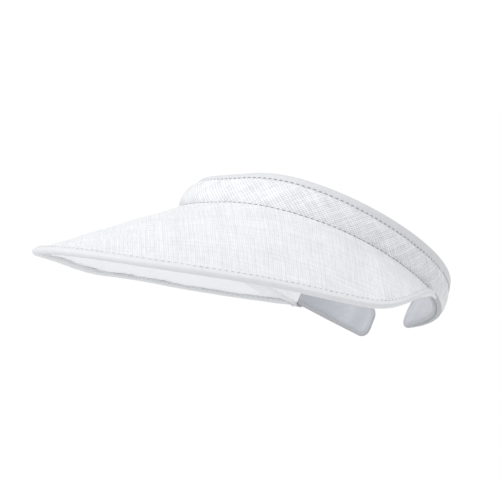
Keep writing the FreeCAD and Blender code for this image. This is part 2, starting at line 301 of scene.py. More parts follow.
def flat_pattern(s):
    """The brim's seam and edge unrolled into a plane, as the panel was cut."""
    seam, edge = wall(s, 0, 0), edge_point(s)
    flat_seam, flat_edge = [np.zeros(2)], [np.array((0.0, -np.linalg.norm(edge[0] - seam[0])))]
    for i in range(1, len(s)):
        flat_edge.append(third_corner(flat_seam[-1], flat_edge[-1], seam[i - 1], edge[i - 1], edge[i]))
        flat_seam.append(third_corner(flat_seam[-1], flat_edge[-1], seam[i - 1], edge[i], seam[i]))
    return np.array(flat_seam), np.array(flat_edge)


def third_corner(flat_a, flat_b, a, b, c):
    """Places c in the plane, on the outer side of the line ab, at its true distances from a and b."""
    base = np.linalg.norm(flat_b - flat_a)
    along_base = (flat_b - flat_a) / base
    along = np.dot(c - a, b - a) / np.linalg.norm(b - a)
    off = math.sqrt(max(np.dot(c - a, c - a) - along ** 2, 0.0))
    return flat_a + along_base * along + np.array((-along_base[1], along_base[0])) * off


# ---------------------------------------------------------------- meshes

def ripple(u, v, size, seed):
    """A slow unevenness between about -1 and 1, repeating nowhere within the visor."""
    turn = 2 * math.pi / size
    return (
        0.5 * np.sin(turn * (u + 0.31 * v) + seed)
        + 0.3 * np.sin(turn * (1.7 * v - 0.53 * u) + 2.1 * seed)
        + 0.2 * np.sin(turn * (2.3 * u + 1.9 * v) + 3.7 * seed)
    )


def mesh_object(name, points, faces, cloth):
    mesh = bpy.data.meshes.new(name)
    mesh.from_pydata(points.tolist(), [], faces)
    weave = mesh.attributes.new("cloth", "FLOAT_VECTOR", "POINT")
    weave.data.foreach_set("vector", cloth.astype(np.float32).ravel())
    mesh.shade_smooth()
    mesh.set_sharp_from_angle(angle=math.radians(50))
    piece = bpy.data.objects.new(name, mesh)
    bpy.context.scene.collection.objects.link(piece)
    return piece


def signed_volume(points, quads):
    a, b, c, d = (points[quads[:, i]] for i in range(4))
    return (np.cross(b - a, c - a) * a).sum() + (np.cross(c - a, d - a) * a).sum()


def cloth_of(sections):
    """Distances along and round a strip, for a weave that follows it."""
    middle = sections.shape[1] // 4
    along = np.linalg.norm(np.diff(sections[:, middle], axis=0), axis=-1)
    round_it = np.linalg.norm(np.diff(sections, axis=1), axis=-1).max(axis=0)
    u = np.concatenate([[0], np.cumsum(along)])
    v = np.concatenate([[0], np.cumsum(round_it)])
    u, v = np.broadcast_arrays(u[:, None], v[None])
    return np.stack([u, v, 0 * u], -1)


def loft(name, sections, cloth=None):
    """A closed solid through closed sections: an array of stations, each with as many corners."""
    stations, corners = sections.shape[:2]
    cloth = cloth_of(sections) if cloth is None else cloth
    points = worn(sections).reshape(-1, 3)
    index = np.arange(stations * corners).reshape(stations, corners)
    here, ahead = index[:-1], index[1:]
    quads = np.stack([here, np.roll(here, -1, 1), np.roll(ahead, -1, 1), ahead], -1).reshape(-1, 4)
    faces = quads.tolist() + [index[0][::-1].tolist(), index[-1].tolist()]
    if signed_volume(points, quads) < 0:
        faces = [face[::-1] for face in faces]
    return mesh_object(name, points, faces, cloth.reshape(-1, 3))


def strip_outline(count, lip=5):
    """Outline of a thin strip: share across, share through, and how far each corner bulges past an edge."""
    turn = np.linspace(0, math.pi, lip + 2)[1:-1]
    across = np.concatenate([np.linspace(0, 1, count), np.ones(lip), np.linspace(1, 0, count), np.zeros(lip)])
    through = np.concatenate([
        np.zeros(count), (1 - np.cos(turn)) / 2, np.ones(count), (1 + np.cos(turn)) / 2,
    ])
    bulge = np.concatenate([np.zeros(count), np.sin(turn), np.zeros(count), -np.sin(turn)])
    return across, through, bulge


def wrap_outline(leg, half, crown, groove=0.0):
    """Section of a folded binding, (out past the bound edge, through): outer skin, then inner skin back."""
    leg, crown, groove = (np.asarray(v, float).reshape(-1, 1) for v in (leg, crown, groove))
    crown, groove = crown + 0 * leg, groove + 0 * leg
    steps = np.linspace(1, 0, 12)
    turn = np.linspace(0, math.pi, 17)
    skins = []
    for thick in (BINDING_THICK, HAIR):
        reach = half + thick
        swell = thick * 0.35 * np.sin(math.pi * steps)
        dip = groove * np.exp(-(half * np.cos(turn) / GROOVE_WIDTH) ** 2)
        out = np.concatenate([
            -leg * steps, (crown + thick) * np.sin(turn) - dip, -leg * steps[::-1],
        ], axis=1)
        through = np.concatenate([-reach - swell, -reach * np.cos(turn), reach + swell[::-1]])
        skins.append((out, np.broadcast_to(through, out.shape)))
    (out, through), (out_inner, through_inner) = skins
    return (
        np.concatenate([out, out_inner[:, ::-1]], axis=1),
        np.concatenate([through, through_inner[:, ::-1]], axis=1),
    )


def pinched(out, through, leg, distance):
    """Draws a binding's skins in along its stitch line, most at each stitch."""
    line = -np.asarray(leg, float).reshape(-1, 1) + STITCH_IN
    near = np.exp(-((out - line) / PINCH_WIDTH) ** 2)
    each = 0.7 + 0.3 * np.cos(2 * math.pi * distance / STITCH_PITCH).reshape(-1, 1)
    return through - np.sign(through) * PINCH * near * each


def stitches(name, line, lift):
    """A row of separate stitches along a line of points; lift is the unit direction off the cloth."""
    run = np.concatenate([[0], np.cumsum(np.linalg.norm(np.diff(line, axis=0), axis=1))])
    starts = np.arange(STITCH_PITCH / 2, run[-1] - STITCH_PITCH, STITCH_PITCH)
    share = np.linspace(0, 1, 7)
    at = starts[:, None] + STITCH_LONG * share
    follow = np.stack([np.interp(at, run, line[:, i]) for i in range(3)], -1)
    off = unit(np.stack([np.interp(at, run, lift[:, i]) for i in range(3)], -1))
    along = unit(np.gradient(follow, axis=1))
    side = np.cross(along, off)
    arch = STITCH_RADIUS * (1.5 * np.sin(math.pi * share) - 0.7)[:, None]
    thick = STITCH_RADIUS * (0.55 + 0.45 * np.sin(math.pi * share))[:, None, None]
    round_it = np.linspace(0, 2 * math.pi, 7)[:-1]
    centre = follow + off * arch
    rings = centre[:, :, None] + thick * (
        side[:, :, None] * np.cos(round_it)[:, None] + off[:, :, None] * np.sin(round_it)[:, None]
    )
    return many_lofts(name, rings)


def many_lofts(name, groups):
    """One object holding a closed solid for each group of rings."""
    count, stations, corners = groups.shape[:3]
    index = np.arange(count * stations * corners).reshape(count, stations, corners)
    here, ahead = index[:, :-1], index[:, 1:]
    quads = np.stack([here, np.roll(here, -1, 2), np.roll(ahead, -1, 2), ahead], -1).reshape(-1, 4)
    caps = np.concatenate([index[:, 0, ::-1], index[:, -1]])
    points = worn(groups).reshape(-1, 3)
    faces = quads.tolist() + caps.tolist()
    if signed_volume(points, quads) < 0:
        faces = [face[::-1] for face in faces]
    cloth = np.stack(np.broadcast_arrays(
        np.arange(stations)[None, :, None] * STITCH_LONG / stations,
        np.arange(corners)[None, None] * STITCH_RADIUS,
        np.arange(count)[:, None, None] * STITCH_PITCH,
    ), -1)
    return mesh_object(name, points, faces, cloth.reshape(-1, 3))


# ---------------------------------------------------------------- materials

class Nodes:
    """Short ways to add and join the nodes of one material."""

    def __init__(self, name):
        self.material = bpy.data.materials.new(name)
        self.material.use_nodes = True
        self.tree = self.material.node_tree
        self.shader = self.tree.nodes["Principled BSDF"]

    def add(self, kind, settings=None, **inputs):
        made = self.tree.nodes.new("ShaderNode" + kind)
        for key, value in (settings or {}).items():
            setattr(made, key, value)
        for key, value in inputs.items():
            self.join(value, made.inputs[key.replace("_", " ")])
        return made

    def join(self, value, socket):
        if isinstance(value, bpy.types.NodeSocket):
            self.tree.links.new(value, socket)
        else:
            socket.default_value = value

    def math(self, operation, *values):
        made = self.tree.nodes.new("ShaderNodeMath")
        made.operation = operation
        for value, socket in zip(values, made.inputs):
            self.join(value, socket)
        return made.outputs[0]

    def noise(self, vector, scale, detail=2.0):
        return self.add("TexNoise", Vector=vector, Scale=scale, Detail=detail).outputs["Fac"]

    def shift(self, value, low, high):
        """Maps 0 to 1 onto low to high."""
        return self.math("MULTIPLY_ADD", value, high - low, low)

    def mix(self, factor, first, second):
        made = self.add("Mix", {"data_type": "RGBA"})
        self.join(factor, made.inputs[0])
        self.join(first, made.inputs[6])
        self.join(second, made.inputs[7])
        return made.outputs[2]

    def finish(self, colour, height, depth, roughness, **constants):
        self.join(colour, self.shader.inputs["Base Color"])
        self.join(roughness, self.shader.inputs["Roughness"])
        bump = self.add("Bump", Height=height, Distance=depth, Strength=1.0)
        self.join(bump.outputs["Normal"], self.shader.inputs["Normal"])
        for key, value in constants.items():
            self.shader.inputs[key.replace("_", " ")].default_value = value
        return self.material


def thread_waves(nodes, turn, warp_pitch, weft_pitch, wander):
    """Sines across the warp and the weft of a weave turned by so many degrees, and their thread numbers."""
    cloth = nodes.add("Attribute", {"attribute_name": "cloth"}).outputs["Vector"]
    drift = nodes.add("TexNoise", Vector=cloth, Scale=180.0, Detail=2.0).outputs["Color"]
    centred = nodes.add("VectorMath", {"operation": "SUBTRACT"})
    nodes.join(drift, centred.inputs[0])
    centred.inputs[1].default_value = (0.5, 0.5, 0.5)
    scaled = nodes.add("VectorMath", {"operation": "SCALE"})
    nodes.join(centred.outputs[0], scaled.inputs[0])
    scaled.inputs["Scale"].default_value = wander
    moved = nodes.add("VectorMath", {"operation": "ADD"})
    nodes.join(cloth, moved.inputs[0])
    nodes.join(scaled.outputs[0], moved.inputs[1])
    turned = nodes.add("Mapping", Vector=moved.outputs[0], Rotation=(0.0, 0.0, math.radians(turn)))
    split = nodes.add("SeparateXYZ", Vector=turned.outputs[0])
    waves = []
    for output, pitch in ((split.outputs["X"], warp_pitch), (split.outputs["Y"], weft_pitch)):
        number = nodes.math("DIVIDE", output, pitch)
        wave = nodes.math("SINE", nodes.math("MULTIPLY", number, math.pi))
        waves.append((wave, number))
    return cloth, turned.outputs[0], waves


FINE_WANDER = 0.12 * MM           # how far a fine cloth's threads stray from straight
STRAW_WANDER = 0.9 * MM


def plain_weave(nodes, turn, warp_pitch, weft_pitch, wander, warp_share=0.5):
    """Height of a plain weave, 0 in its holes and 1 on its threads, and each thread's own tone."""
    cloth, turned, ((warp, warp_number), (weft, weft_number)) = thread_waves(
        nodes, turn, warp_pitch, weft_pitch, wander)
    over = nodes.math("MULTIPLY", warp, weft)
    warp_shown = nodes.shift(over, warp_share, warp_share + 0.5)
    warp_top = nodes.math("MULTIPLY", nodes.math("ABSOLUTE", warp), warp_shown)
    weft_top = nodes.math("MULTIPLY", nodes.math("ABSOLUTE", weft), nodes.shift(over, 0.5, 0.0))
    height = nodes.math("ADD", warp_top, weft_top)
    tones = []
    for number in (warp_number, weft_number):
        own = nodes.add("TexWhiteNoise", {"noise_dimensions": "1D"}, W=nodes.math("FLOOR", number))
        tones.append(own.outputs["Value"])
    return cloth, turned, height, tones, warp_number


def straw_cloth(name, turn, pitch, light, dark, ribs, threads, slubby, depth):
    """Woven paper straw. Every other warp thread stands out by ribs, threads sets how much one thread
    differs from the next, and slubby how much a thread changes along its length."""
    nodes = Nodes(name)
    cloth, turned, height, (warp_tone, weft_tone), number = plain_weave(
        nodes, turn, pitch, pitch * 1.24, STRAW_WANDER, 0.56)
    pairs = nodes.math("COSINE", nodes.math("MULTIPLY", number, math.pi))
    slubs = []
    for scale in ((1.0, 0.14, 1.0), (0.14, 1.0, 1.0)):
        stretched = nodes.add("Mapping", Vector=turned, Scale=scale).outputs[0]
        slubs.append(nodes.noise(stretched, 0.75 / pitch, 3.0))
    slub = nodes.math("MULTIPLY", nodes.math("ADD", *slubs), 0.5)
    blotch = nodes.noise(cloth, 70.0, 3.0)
    tall = nodes.math("ADD", height, nodes.math("MULTIPLY", pairs, ribs))
    tall = nodes.math("ADD", tall, nodes.shift(slub, -slubby, slubby))
    tall = nodes.math("ADD", tall, nodes.shift(warp_tone, -threads, threads))
    tall = nodes.math("ADD", tall, nodes.shift(weft_tone, -threads, threads))
    # The colour follows the weave's height: the holes between threads are painted darker, as shade; ribs,
    # slubs and each thread's tone are the straw's own.
    shade = nodes.math("ADD", nodes.shift(tall, 0.05, 0.78), nodes.shift(blotch, -0.12, 0.2))
    shade = nodes.add("Clamp", Value=shade).outputs[0]
    colour = nodes.mix(shade, dark, light)
    return nodes.finish(colour, tall, depth, nodes.shift(slub, 0.62, 0.86), Specular_IOR_Level=0.3)


def fine_cloth(name, turn, pitch, light, dark, depth, roughness, sheen=0.15):
    """Plain cotton or polyester cloth with a fine even weave and soft mottling."""
    nodes = Nodes(name)
    cloth, _, height, (warp_tone, _), _ = plain_weave(nodes, turn, pitch, pitch, FINE_WANDER)
    blotch = nodes.noise(cloth, 160.0, 3.0)
    fuzz = nodes.noise(cloth, 2600.0, 2.0)
    tall = nodes.math("ADD", height, nodes.shift(warp_tone, -0.15, 0.15))
    tall = nodes.math("ADD", tall, nodes.shift(fuzz, -0.2, 0.2))
    # The colour follows the weave's height: the holes between threads are painted darker, as shade; the
    # mottling is the cloth's own tone.
    shade = nodes.math("ADD", nodes.shift(tall, 0.1, 0.6), nodes.shift(blotch, -0.25, 0.35))
    colour = nodes.mix(nodes.add("Clamp", Value=shade).outputs[0], dark, light)
    worn_rough = nodes.shift(blotch, roughness - 0.08, roughness + 0.08)
    return nodes.finish(colour, tall, depth, worn_rough, Sheen_Weight=sheen, Sheen_Roughness=0.5)


def satin_cloth(name, light, dark):
    """Satin: long floats with a slight twill line, smooth, with a soft gloss along the band."""
    nodes = Nodes(name)
    cloth = nodes.add("Attribute", {"attribute_name": "cloth"}).outputs["Vector"]
    long = nodes.add("Mapping", Vector=cloth, Scale=(0.12, 1.0, 1.0)).outputs[0]
    floats = nodes.noise(long, 3400.0, 3.0)
    turned = nodes.add("Mapping", Vector=cloth, Rotation=(0.0, 0.0, math.radians(27)))
    twill = nodes.add("SeparateXYZ", Vector=turned.outputs[0]).outputs["X"]
    line = nodes.math("SINE", nodes.math("MULTIPLY", twill, 2 * math.pi / (0.7 * MM)))
    blotch = nodes.noise(cloth, 90.0, 2.0)
    tall = nodes.math("MULTIPLY_ADD", line, 0.2, floats)
    shade = nodes.math("ADD", nodes.shift(floats, 0.1, 0.7), nodes.shift(blotch, -0.3, 0.4))
    colour = nodes.mix(nodes.add("Clamp", Value=shade).outputs[0], dark, light)
    return nodes.finish(
        colour, tall, 0.03 * MM, nodes.shift(floats, 0.34, 0.5), Anisotropic=0.4, Sheen_Weight=0.25,
    )


def thread_material(name, light, dark):
    """Spun sewing thread with its twist."""
    nodes = Nodes(name)
    cloth = nodes.add("Attribute", {"attribute_name": "cloth"}).outputs["Vector"]
    split = nodes.add("SeparateXYZ", Vector=cloth)
    lean = nodes.math("ADD", split.outputs["X"], split.outputs["Y"])
    twist = nodes.math("SINE", nodes.math("MULTIPLY", lean, 2 * math.pi / (0.45 * MM)))
    tone = nodes.noise(cloth, 900.0)
    # The grooves of the twist are painted darker, as shade; the noise is the thread's own tone.
    shade = nodes.math("ADD", nodes.shift(twist, 0.45, 0.75), nodes.shift(tone, -0.25, 0.25))
    colour = nodes.mix(nodes.add("Clamp", Value=shade).outputs[0], dark, light)
    return nodes.finish(colour, twist, 0.05 * MM, nodes.shift(tone, 0.6, 0.85), Sheen_Weight=0.2)


def moulded(name, light, dark, grain, roughness, depth):
    """Moulded or extruded plastic, rubber or foam: fine grain, faint flow marks and a little wear."""
    nodes = Nodes(name)
    place = nodes.add("TexCoord").outputs["Object"]
    fine = nodes.noise(place, grain, 3.0)
    flow = nodes.noise(nodes.add("Mapping", Vector=place, Scale=(1.0, 1.0, 6.0)).outputs[0], 60.0, 3.0)
    shade = nodes.math("ADD", nodes.shift(fine, 0.2, 0.6), nodes.shift(flow, -0.2, 0.4))
    colour = nodes.mix(nodes.add("Clamp", Value=shade).outputs[0], dark, light)
    return nodes.finish(colour, fine, depth, nodes.shift(flow, roughness - 0.1, roughness + 0.1))


def herringbone(name, light, dark):
    """Cotton tape with a herringbone of 2 mm."""
    nodes = Nodes(name)
    cloth = nodes.add("Attribute", {"attribute_name": "cloth"}).outputs["Vector"]
    split = nodes.add("SeparateXYZ", Vector=cloth)
    fold = nodes.math("PINGPONG", split.outputs["Y"], 1.0 * MM)
    slant = nodes.math("ADD", split.outputs["X"], fold)
    rib = nodes.math("SINE", nodes.math("MULTIPLY", slant, 2 * math.pi / (0.6 * MM)))
    blotch = nodes.noise(cloth, 240.0)
    # The grooves between the ribs are painted darker, as shade; the blotches are the tape's own tone.
    shade = nodes.math("ADD", nodes.shift(rib, 0.4, 0.65), nodes.shift(blotch, -0.2, 0.3))
    colour = nodes.mix(nodes.add("Clamp", Value=shade).outputs[0], dark, light)
    return nodes.finish(colour, rib, 0.06 * MM, nodes.shift(blotch, 0.7, 0.9), Sheen_Weight=0.15)


def grey(level, blue=0.04):
    """A cool near-grey, linear."""
    return (level, level * (1 + 0.3 * blue), level * (1 + blue), 1.0)


# Each material's two tones bound what its threads, slubs and grain give; no face is one flat colour.
MATERIALS = {
    "straw_weave": straw_cloth(
        "straw_weave", turn=-45.0, pitch=1.05 * MM, light=grey(0.80), dark=grey(0.60),
        ribs=0.09, threads=0.13, slubby=1.0, depth=0.10 * MM),
    "band_weave": straw_cloth(
        "band_weave", turn=45.0, pitch=1.1 * MM, light=grey(0.88), dark=grey(0.48),
        ribs=0.05, threads=0.1, slubby=0.7, depth=0.16 * MM),
    "brim_lining": fine_cloth("brim_lining", 0.0, 0.5 * MM, grey(0.91), grey(0.83), 0.02 * MM, 0.7),
    "edge_binding": fine_cloth("edge_binding", 45.0, 0.45 * MM, grey(0.72), grey(0.62), 0.03 * MM, 0.65),
    "seam_tape": herringbone("seam_tape", grey(0.96), grey(0.88)),
    "sweatband": satin_cloth("sweatband", grey(0.46, 0.11), grey(0.37, 0.13)),
    "stitch_thread": thread_material("stitch_thread", grey(0.62), grey(0.46)),
    "foam_pad": moulded("foam_pad", grey(0.76, -0.04), grey(0.55, -0.04), 2200.0, 0.9, 0.25 * MM),
    "spring_strip": moulded("spring_strip", grey(0.76, -0.03), grey(0.66, -0.03), 900.0, 0.4, 0.01 * MM),
    "spring_tip": moulded("spring_tip", grey(0.13), grey(0.09), 1500.0, 0.7, 0.03 * MM),
    "brim_board": moulded("brim_board", grey(0.80), grey(0.70), 700.0, 0.55, 0.02 * MM),
    "edge_wire": moulded("edge_wire", grey(0.82, -0.03), grey(0.72, -0.03), 1200.0, 0.35, 0.01 * MM),
}


# Pieces that share a slot but not its shade: the band's binding is greyer, and the same binding is darker
# still round the arms' ends, as painted shade; the brim is sewn in a paler thread.
SHADES = {
    "band_tape": fine_cloth("band_tape", 45.0, 0.45 * MM, grey(0.66, 0.05), grey(0.56, 0.05), 0.03 * MM, 0.6),
    # a darker copy of the band's binding: painted shade for its stretch round an arm's end and along the
    # lower edge
    "arm_tape_painted_shade": fine_cloth("arm_tape_painted_shade", 45.0, 0.45 * MM, grey(0.44, 0.1), grey(0.36, 0.1), 0.03 * MM, 0.5),
    "band_thread": thread_material("band_thread", grey(0.44), grey(0.32)),
    "brim_thread": thread_material("brim_thread", grey(0.72), grey(0.58)),
    # near-black thread: painted shade for the shadow in the groove between the brim and the band
    "seam_thread_painted_shade": thread_material("seam_thread_painted_shade", grey(0.22), grey(0.12)),
}


def dressed(piece, slot, shade=None):
    """Gives a piece the material of its slot in the record, or another shade of it."""
    piece.data.materials.clear()
    piece.data.materials.append(SHADES[shade] if shade else MATERIALS[slot])
    return piece


# ---------------------------------------------------------------- brim

def brim_stations():
    return np.linspace(*BRIM_STOPS, BRIM_STATIONS)


def pattern_cloth(s, across, width):
    """Weave coordinates of brim points on the flat panel, so that one straight grain runs over it all."""
    right, left = s[s < 0][::-1], s[s >= 0]
    seam_left, edge_left = flat_pattern(left)
    seam_right, edge_right = flat_pattern(np.abs(right))
    seam = np.concatenate([seam_right[::-1] * (-1, 1), seam_left])
    edge = np.concatenate([edge_right[::-1] * (-1, 1), edge_left])
    share = (across / width[:, None])[..., None]
    flat = seam[:, None] * (1 - share) + edge[:, None] * share
    return np.concatenate([flat, np.zeros(flat.shape[:2] + (1,))], -1)


def brim_layer(name, layer, short, uneven):
    """One cloth of the brim, from the seam to the edge, a little uneven and puckered along the binding."""
    s = brim_stations()
    width = brim_frame(s)[3]
    across_share, through, bulge = strip_outline(48)
    inner, outer = SEAM_GAP, np.maximum(width - BRIM_FOLD - short, SEAM_GAP + LEAST_STRIP)
    thick = layer[1] - layer[0]
    across = inner + (outer - inner)[:, None] * across_share + bulge * thick / 2
    from_edge = np.clip(width[:, None] - BRIM_LEG - across, 0, None)
    from_seam = np.clip(across, 0, None)
    calm = np.clip(from_seam / (12 * MM), 0, 1) * np.clip(width / (40 * MM), 0, 1)[:, None]
    wave = ripple(s[:, None] * 2, across, 46 * MM, 1.0) * calm
    pucker = np.cos(2 * math.pi * s[:, None] / (2 * STITCH_PITCH)) * np.exp(-from_edge / (5 * MM)) * calm
    depth = layer[0] + thick * through - uneven * (wave + 0.3 * pucker)
    return loft(name, brim(s, across, depth), pattern_cloth(s, across, width))


def brim_binding():
    """The bias binding folded round the brim's edge."""
    s = brim_stations()
    width = brim_frame(s)[3]
    leg = np.minimum(BRIM_LEG, width - SEAM_GAP - 0.2 * MM) - BRIM_FOLD
    half = (BRIM_LINING[1] - STRAW[0]) / 2 + 0.08 * MM
    out, through = wrap_outline(leg, half, BRIM_CROWN)
    distance = edge_run(s)
    through = pinched(out, through, leg, distance)
    slack = 0.06 * MM * ripple(distance[:, None], out, 17 * MM, 2.0)
    middle = (BRIM_LINING[1] + STRAW[0]) / 2
    across = width[:, None] - BRIM_FOLD + out
    return loft("brim_edge_binding_cloth", brim(s, across, middle + through * (1 + slack / half)))


def edge_run(s):
    """Distance along the brim's edge."""
    steps = np.linalg.norm(np.diff(edge_point(s), axis=0), axis=1)
    return np.concatenate([[0], np.cumsum(steps)])


def brim_stitch_row(name, depth, sign):
    s = np.linspace(BRIM_STOPS[0] + STITCH_PITCH, BRIM_STOPS[1] - STITCH_PITCH, 4 * BRIM_STATIONS)
    seam, out, down, width = brim_frame(s)
    line = np.maximum(width - BRIM_LEG + STITCH_IN, SEAM_GAP + LEAST_STRIP)
    points = seam + out * line[:, None] + down * depth
    return stitches(name, points, down * sign)


def edge_wire():
    """The nylon wire that keeps the brim's edge in its curve."""
    s = brim_stations()
    s = s[(s > BRIM_STOPS[0] + END_TAPER) & (s < BRIM_STOPS[1] - END_TAPER)]
    width = brim_frame(s)[3][:, None]
    turn = np.linspace(0, 2 * math.pi, 13)[:-1]
    across = width - EDGE_WIRE_INSET + EDGE_WIRE_RADIUS * np.cos(turn)
    depth = sum(STIFFENER) / 2 + EDGE_WIRE_RADIUS * np.sin(turn) + 0 * across
    return loft("brim_edge_wire_curve", brim(s, across, depth))


def seam_stitches_painted_shade():
    """The seam's thread in the groove between the brim and the band, coloured near black as painted shade for
    the groove's shadow.
    """
    s = np.linspace(BRIM_STOPS[0] + STITCH_PITCH, BRIM_STOPS[1] - STITCH_PITCH, 4 * BRIM_STATIONS)
    seam, out, down, _ = brim_frame(s)
    return stitches("seam_stitches_painted_shade", seam + out * SEAM_THREAD[0] + down * SEAM_THREAD[1], out - down)


def seam_tape():
    s = brim_stations()
    width = brim_frame(s)[3]
    outer = np.minimum(SEAM_GAP + SEAM_TAPE_WIDTH, width - BRIM_LEG - 1.0 * MM)
    outer = np.maximum(outer, SEAM_GAP + LEAST_STRIP)
    across_share, through, bulge = strip_outline(10)
    thick = SEAM_TAPE[1] - SEAM_TAPE[0]
    across = (outer + SEAM_TAPE_TUCK)[:, None] * across_share - SEAM_TAPE_TUCK + bulge * thick / 2
    curl = SEAM_TAPE_LIFT * smooth_step(-across, 0.0, SEAM_TAPE_TUCK)
    return loft("brim_seam_tape_cloth", brim(s, across, SEAM_TAPE[0] + thick * through - curl))


def panel_size():
    """The brim panel's cut size: its bounding width and length, and its area."""
    s = brim_stations()
    left, right = s[s >= 0], np.abs(s[s < 0][::-1])
    area, boxes = 0.0, []
    for half in (left, right):
        seam, edge = flat_pattern(half)
        loop = np.concatenate([seam, edge[::-1]])
        ahead = np.roll(loop, -1, axis=0)
        area += abs((loop[:, 0] * ahead[:, 1] - loop[:, 1] * ahead[:, 0]).sum()) / 2
        boxes.append((loop.min(axis=0), loop.max(axis=0)))
    width = sum(high[0] for low, high in boxes)
    length = max(high[1] for low, high in boxes) - min(low[1] for low, high in boxes)
    return (float(width), float(length)), float(area)


def build_brim():
    skin = BINDING_THICK + HAIR
    pieces = {
        "brim_top_straw": (brim_layer("brim_straw_panel", STRAW, BRIM_EASE, BRIM_UNEVEN), "straw_weave"),
        "brim_lining": (brim_layer("brim_lining_panel", BRIM_LINING, BRIM_EASE, BRIM_UNEVEN), "brim_lining"),
        "brim_stiffener": (brim_layer("brim_board", STIFFENER, STIFFENER_SHORT, BRIM_UNEVEN), "brim_board"),
        "brim_edge_wire": (edge_wire(), "edge_wire"),
        "brim_edge_binding": (brim_binding(), "edge_binding"),
        "brim_seam_tape": (seam_tape(), "seam_tape"),
        "brim_edge_stitching": (brim_stitch_row("brim_stitches_top", -skin, -1.0), "stitch_thread"),
    }
    shades = {"brim_edge_stitching": "brim_thread"}
    for node, (piece, slot) in pieces.items():
        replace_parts(dressed(piece, slot, shades.get(node)), node)
        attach(piece, "visor")
    under = brim_stitch_row("brim_stitches_under", BRIM_LINING[1] + skin, 1.0)
    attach(dressed(under, "stitch_thread", "brim_thread"), "visor")
    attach(dressed(seam_stitches_painted_shade(), "stitch_thread", "seam_thread_painted_shade"), "visor")
    size, area = panel_size()


# ---------------------------------------------------------------- band and arms

def stretch(part):
    """Stations of one stretch of the band: its front, or an arm with close steps round its end."""
    if part == "front":
        return np.linspace(-SPLIT, SPLIT, BAND_STATIONS)
    straight = np.linspace(SPLIT, HALF_LENGTH - ARM_CORNER, ARM_STATIONS)
    turn = np.linspace(0, math.pi / 2, 16)[1:]
    arm = np.concatenate([straight, HALF_LENGTH - ARM_CORNER + ARM_CORNER * np.sin(turn)])
    return arm if part == "left" else -arm[::-1]


def outline(s, margin):
    """Lowest and highest point of the wall at s, with an arm's end corners rounded."""
    corner = ARM_CORNER - margin
    past = np.clip(np.abs(s) - (HALF_LENGTH - ARM_CORNER), 0, corner)
    cut = corner - np.sqrt(np.maximum(corner ** 2 - past ** 2, 0))
    return margin + cut, BAND_HEIGHT - margin - cut


def band_layer(name, part, layer, margin, puff, uneven, low=None, high=None, short=0.0):
    """One layer of the band over one stretch; puff bows it out (or in, if negative) between its edges."""
    s = stretch(part)
    if short:
        s = s[np.abs(s) < HALF_LENGTH - short]
    bottom, top = outline(s, margin) if low is None else (0 * s + low, 0 * s + high)
    if layer in (COVER, SWEATBAND):
        start = np.where(s < 0, *BINDING_START)
        bottom = bottom + LOWER_FOLD * smooth_step(np.abs(s), start - 2 * MM, start + 6 * MM)
        top = top - BAND_FOLD
    across, through, bulge = strip_outline(22)
    thick = layer[1] - layer[0]
    height = bottom[:, None] + (top - bottom)[:, None] * across + bulge * thick / 2
    full, free_top = puff, top
    if layer is COVER:
        full = puff + swell(s, COVER_FULL)[:, None]
        free_top = np.maximum(top - top_leg(s) + COVER_TUCK, bottom + 1 * MM)
    off = 2 * np.clip((height - bottom[:, None]) / (free_top - bottom)[:, None], 0, 1) - 1
    room = np.clip((top - bottom) / BAND_HEIGHT, 0, 1)[:, None]
    bow = full * (1 - np.where(off < 0, off ** 4, off ** 2)) * room
    wave = uneven * ripple(s[:, None] * 1.5, height * 2.5, 21 * MM, 3.0) * np.sin(math.pi * across)
    inward = layer[0] + thick * through - bow + wave
    return loft(name, wall(s[:, None], height, inward))


def arm_route(side):
    """Round an arm's edge: s, height, the edge's outward direction along s and up, and distance run."""
    straight = np.linspace(SPLIT, HALF_LENGTH - ARM_CORNER, TOP_STATIONS)
    turn = np.linspace(0, math.pi / 2, 14)
    corner = HALF_LENGTH - ARM_CORNER
    end_height = np.linspace(BAND_HEIGHT - ARM_CORNER, ARM_CORNER, 8)[1:-1]
    back = np.linspace(corner, BINDING_START[0] if side < 0 else BINDING_START[1], 40)[1:]
    s = np.concatenate([
        straight[:-1], corner + ARM_CORNER * np.sin(turn), 0 * end_height + HALF_LENGTH,
        corner + ARM_CORNER * np.cos(turn), back,
    ])
    height = np.concatenate([
        0 * straight[:-1] + BAND_HEIGHT, BAND_HEIGHT - ARM_CORNER + ARM_CORNER * np.cos(turn),
        end_height, ARM_CORNER - ARM_CORNER * np.sin(turn), 0 * back,
    ])
    out_s = np.concatenate([0 * straight[:-1], np.sin(turn), 0 * end_height + 1, np.cos(turn), 0 * back])
    out_h = np.concatenate([0 * straight[:-1] + 1, np.cos(turn), 0 * end_height, -np.sin(turn), 0 * back - 1])
    run = np.concatenate([[0], np.cumsum(np.hypot(np.diff(s), np.diff(height)))])
    return side * s, height, side * out_s, out_h, run


def route(part):
    if part != "front":
        return arm_route(1.0 if part == "left" else -1.0)
    s = np.linspace(-SPLIT, SPLIT, 2 * BAND_STATIONS)
    return s, 0 * s + BAND_HEIGHT, 0 * s, 0 * s + 1, s + SPLIT


def top_leg(s):
    """Width of the top binding's leg at s: narrow at the front, broader towards the arms."""
    return BAND_LEG_FRONT + (BAND_LEG - BAND_LEG_FRONT) * smooth_step(np.abs(s), *LEG_GROWS)


def leg_of(part, run):
    """Width of a binding's leg: broad along the top, narrow round an arm's end and along its lower edge."""
    if part == "front":
        return top_leg(run - SPLIT), 0 * run
    top_end = HALF_LENGTH - ARM_CORNER - SPLIT
    lower_start = top_end + BAND_HEIGHT + ARM_CORNER
    narrow = smooth_step(run, top_end - 24 * MM, top_end + ARM_CORNER)
    leg = BAND_LEG + (ARM_END_LEG - BAND_LEG) * narrow
    return leg, smooth_step(run, lower_start - 2 * MM, lower_start + 10 * MM)


